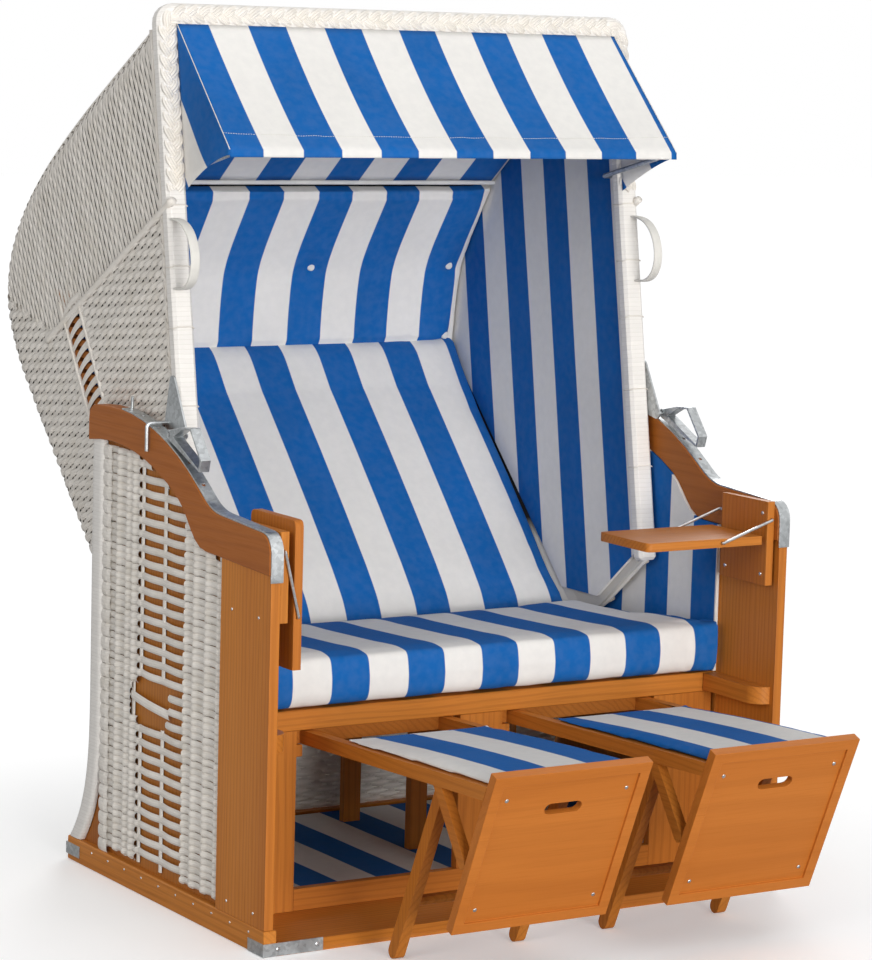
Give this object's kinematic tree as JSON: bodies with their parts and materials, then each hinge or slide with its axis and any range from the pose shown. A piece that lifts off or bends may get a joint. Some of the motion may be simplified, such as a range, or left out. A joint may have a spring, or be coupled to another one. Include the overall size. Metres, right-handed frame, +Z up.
{
  "type": "hooded beach chair",
  "caption": "Wooden two-seat beach chair with a woven tilting hood, striped lining and cushions, folding awning, tables and slide-out footrests.",
  "frame": {"origin": "on the ground plane, below the middle of the base in width and depth", "axes": "+Z up, -Y towards the front where the footrests slide out, +X to the chair's right as seen from the front"},
  "size_m": [1.229, 1.815, 1.7739],
  "materials": {
    "wicker": "off-white woven cane, semi-matt",
    "stained_wood": "planed pine with an orange-brown stain",
    "galvanised": "galvanised, dull",
    "striped_cloth": "woven outdoor cloth with blue and white block stripes",
    "white_cloth": "white webbing and piping"
  },
  "bodies": {
    "base": {"side_board_left": "stained_wood", "armrest_left": "stained_wood", "armrest_band_left": "galvanised", "wicker_side_left": "wicker", "inner_wall_left": "stained_wood", "side_lining_left": "striped_cloth", "bottom_rail_left": "stained_wood", "seat_post_left": "stained_wood", "side_cleat_left": "stained_wood", "table_plate_left": "stained_wood", "corner_bracket_front_left": "galvanised", "corner_bracket_rear_left": "galvanised", "side_board_right": "stained_wood", "armrest_right": "stained_wood", "armrest_band_right": "galvanised", "wicker_side_right": "wicker", "inner_wall_right": "stained_wood", "side_lining_right": "striped_cloth", "bottom_rail_right": "stained_wood", "seat_post_right": "stained_wood", "side_cleat_right": "stained_wood", "table_plate_right": "stained_wood", "corner_bracket_front_right": "galvanised", "corner_bracket_rear_right": "galvanised", "wicker_rear": "wicker", "bottom_rail_rear": "stained_wood", "front_plank": "stained_wood", "front_sill": "stained_wood", "centre_joist": "stained_wood", "floor_board": "striped_cloth", "centre_frame": "stained_wood", "seat_rail": "stained_wood", "seat_board": "stained_wood", "seat_cushion": "striped_cloth"},
    "hood": {"hood_shell": "wicker", "hood_rim": "wicker", "hood_lining": "striped_cloth", "back_cushion": "striped_cloth", "neck_cushion": "striped_cloth", "lining_rod": "white_cloth", "grab_loop_left": "white_cloth", "grab_loop_right": "white_cloth", "hood_hook_left": "galvanised", "hood_hook_right": "galvanised"},
    "awning": {"awning_bow": "galvanised", "awning_cloth": "striped_cloth"},
    "lever_left": {"lever_left": "galvanised"},
    "footrest_left": {"footrest_frame_left": "stained_wood", "footrest_panel_left": "stained_wood", "footrest_pad_left": "striped_cloth"},
    "footrest_leg_left": {"footrest_leg_left": "stained_wood"},
    "table_wire_left": {"table_wire_left": "galvanised"},
    "table_leaf_left": {"table_leaf_left": "stained_wood"},
    "lever_right": {"lever_right": "galvanised"},
    "footrest_right": {"footrest_frame_right": "stained_wood", "footrest_panel_right": "stained_wood", "footrest_pad_right": "striped_cloth"},
    "footrest_leg_right": {"footrest_leg_right": "stained_wood"},
    "table_wire_right": {"table_wire_right": "galvanised"},
    "table_leaf_right": {"table_leaf_right": "stained_wood"}
  },
  "joints": [
    {"name": "hood_tilt", "type": "hinge", "parent": "base", "child": "hood", "pos_m": [0, 0.2875, 0.3], "axis": [-1, 0, 0], "range_deg": [-8, 8.5]},
    {"name": "awning_fold", "type": "hinge", "parent": "hood", "child": "awning", "pos_m": [0, 0.1895, 1.437], "axis": [-1, 0, 0], "range_deg": [0, 62], "deforming": ["awning_cloth"]},
    {"name": "lever_left_lift", "type": "hinge", "parent": "hood", "child": "lever_left", "pos_m": [-0.578, 0.0405, 0.941], "axis": [-1, 0, 0], "range_deg": [0, 40]},
    {"name": "footrest_left_slide", "type": "slide", "parent": "base", "child": "footrest_left", "axis": [0, 0.9969, -0.0785], "range_m": [0, 0.46]},
    {"name": "footrest_left_leg_fold", "type": "hinge", "parent": "footrest_left", "child": "footrest_leg_left", "pos_m": [-0.24, -0.6536, 0.372], "axis": [1, 0, 0], "range_deg": [0, 63.54]},
    {"name": "table_left_swing", "type": "hinge", "parent": "base", "child": "table_wire_left", "pos_m": [-0.5667, -0.3705, 0.768], "axis": [0, -1, 0], "range_deg": [0, 57.5]},
    {"name": "table_left_leaf_fold", "type": "hinge", "parent": "table_wire_left", "child": "table_leaf_left", "pos_m": [-0.53525, -0.3705, 0.64186], "axis": [0, 1, 0], "range_deg": [0, 147.5]},
    {"name": "lever_right_lift", "type": "hinge", "parent": "hood", "child": "lever_right", "pos_m": [0.578, 0.0405, 0.941], "axis": [-1, 0, 0], "range_deg": [0, 40]},
    {"name": "footrest_right_slide", "type": "slide", "parent": "base", "child": "footrest_right", "axis": [0, 0.9969, -0.0785], "range_m": [0, 0.46]},
    {"name": "footrest_right_leg_fold", "type": "hinge", "parent": "footrest_right", "child": "footrest_leg_right", "pos_m": [0.24, -0.6536, 0.372], "axis": [1, 0, 0], "range_deg": [0, 63.54]},
    {"name": "table_right_swing", "type": "hinge", "parent": "base", "child": "table_wire_right", "pos_m": [0.5667, -0.3705, 0.768], "axis": [0, -1, 0], "range_deg": [0, 57.5]},
    {"name": "table_right_leaf_fold", "type": "hinge", "parent": "table_wire_right", "child": "table_leaf_right", "pos_m": [0.44342, -0.3705, 0.72675], "axis": [0, 1, 0], "range_deg": [0, 147.5]}
  ],
  "couplings": [
    {"joint": "footrest_left_leg_fold", "follows": "footrest_left_slide", "rad_per_m": 2.4108},
    {"joint": "table_left_leaf_fold", "follows": "table_left_swing", "ratio": 2.5652},
    {"joint": "footrest_right_leg_fold", "follows": "footrest_right_slide", "rad_per_m": 2.4108},
    {"joint": "table_right_leaf_fold", "follows": "table_right_swing", "ratio": 2.5652}
  ]
}
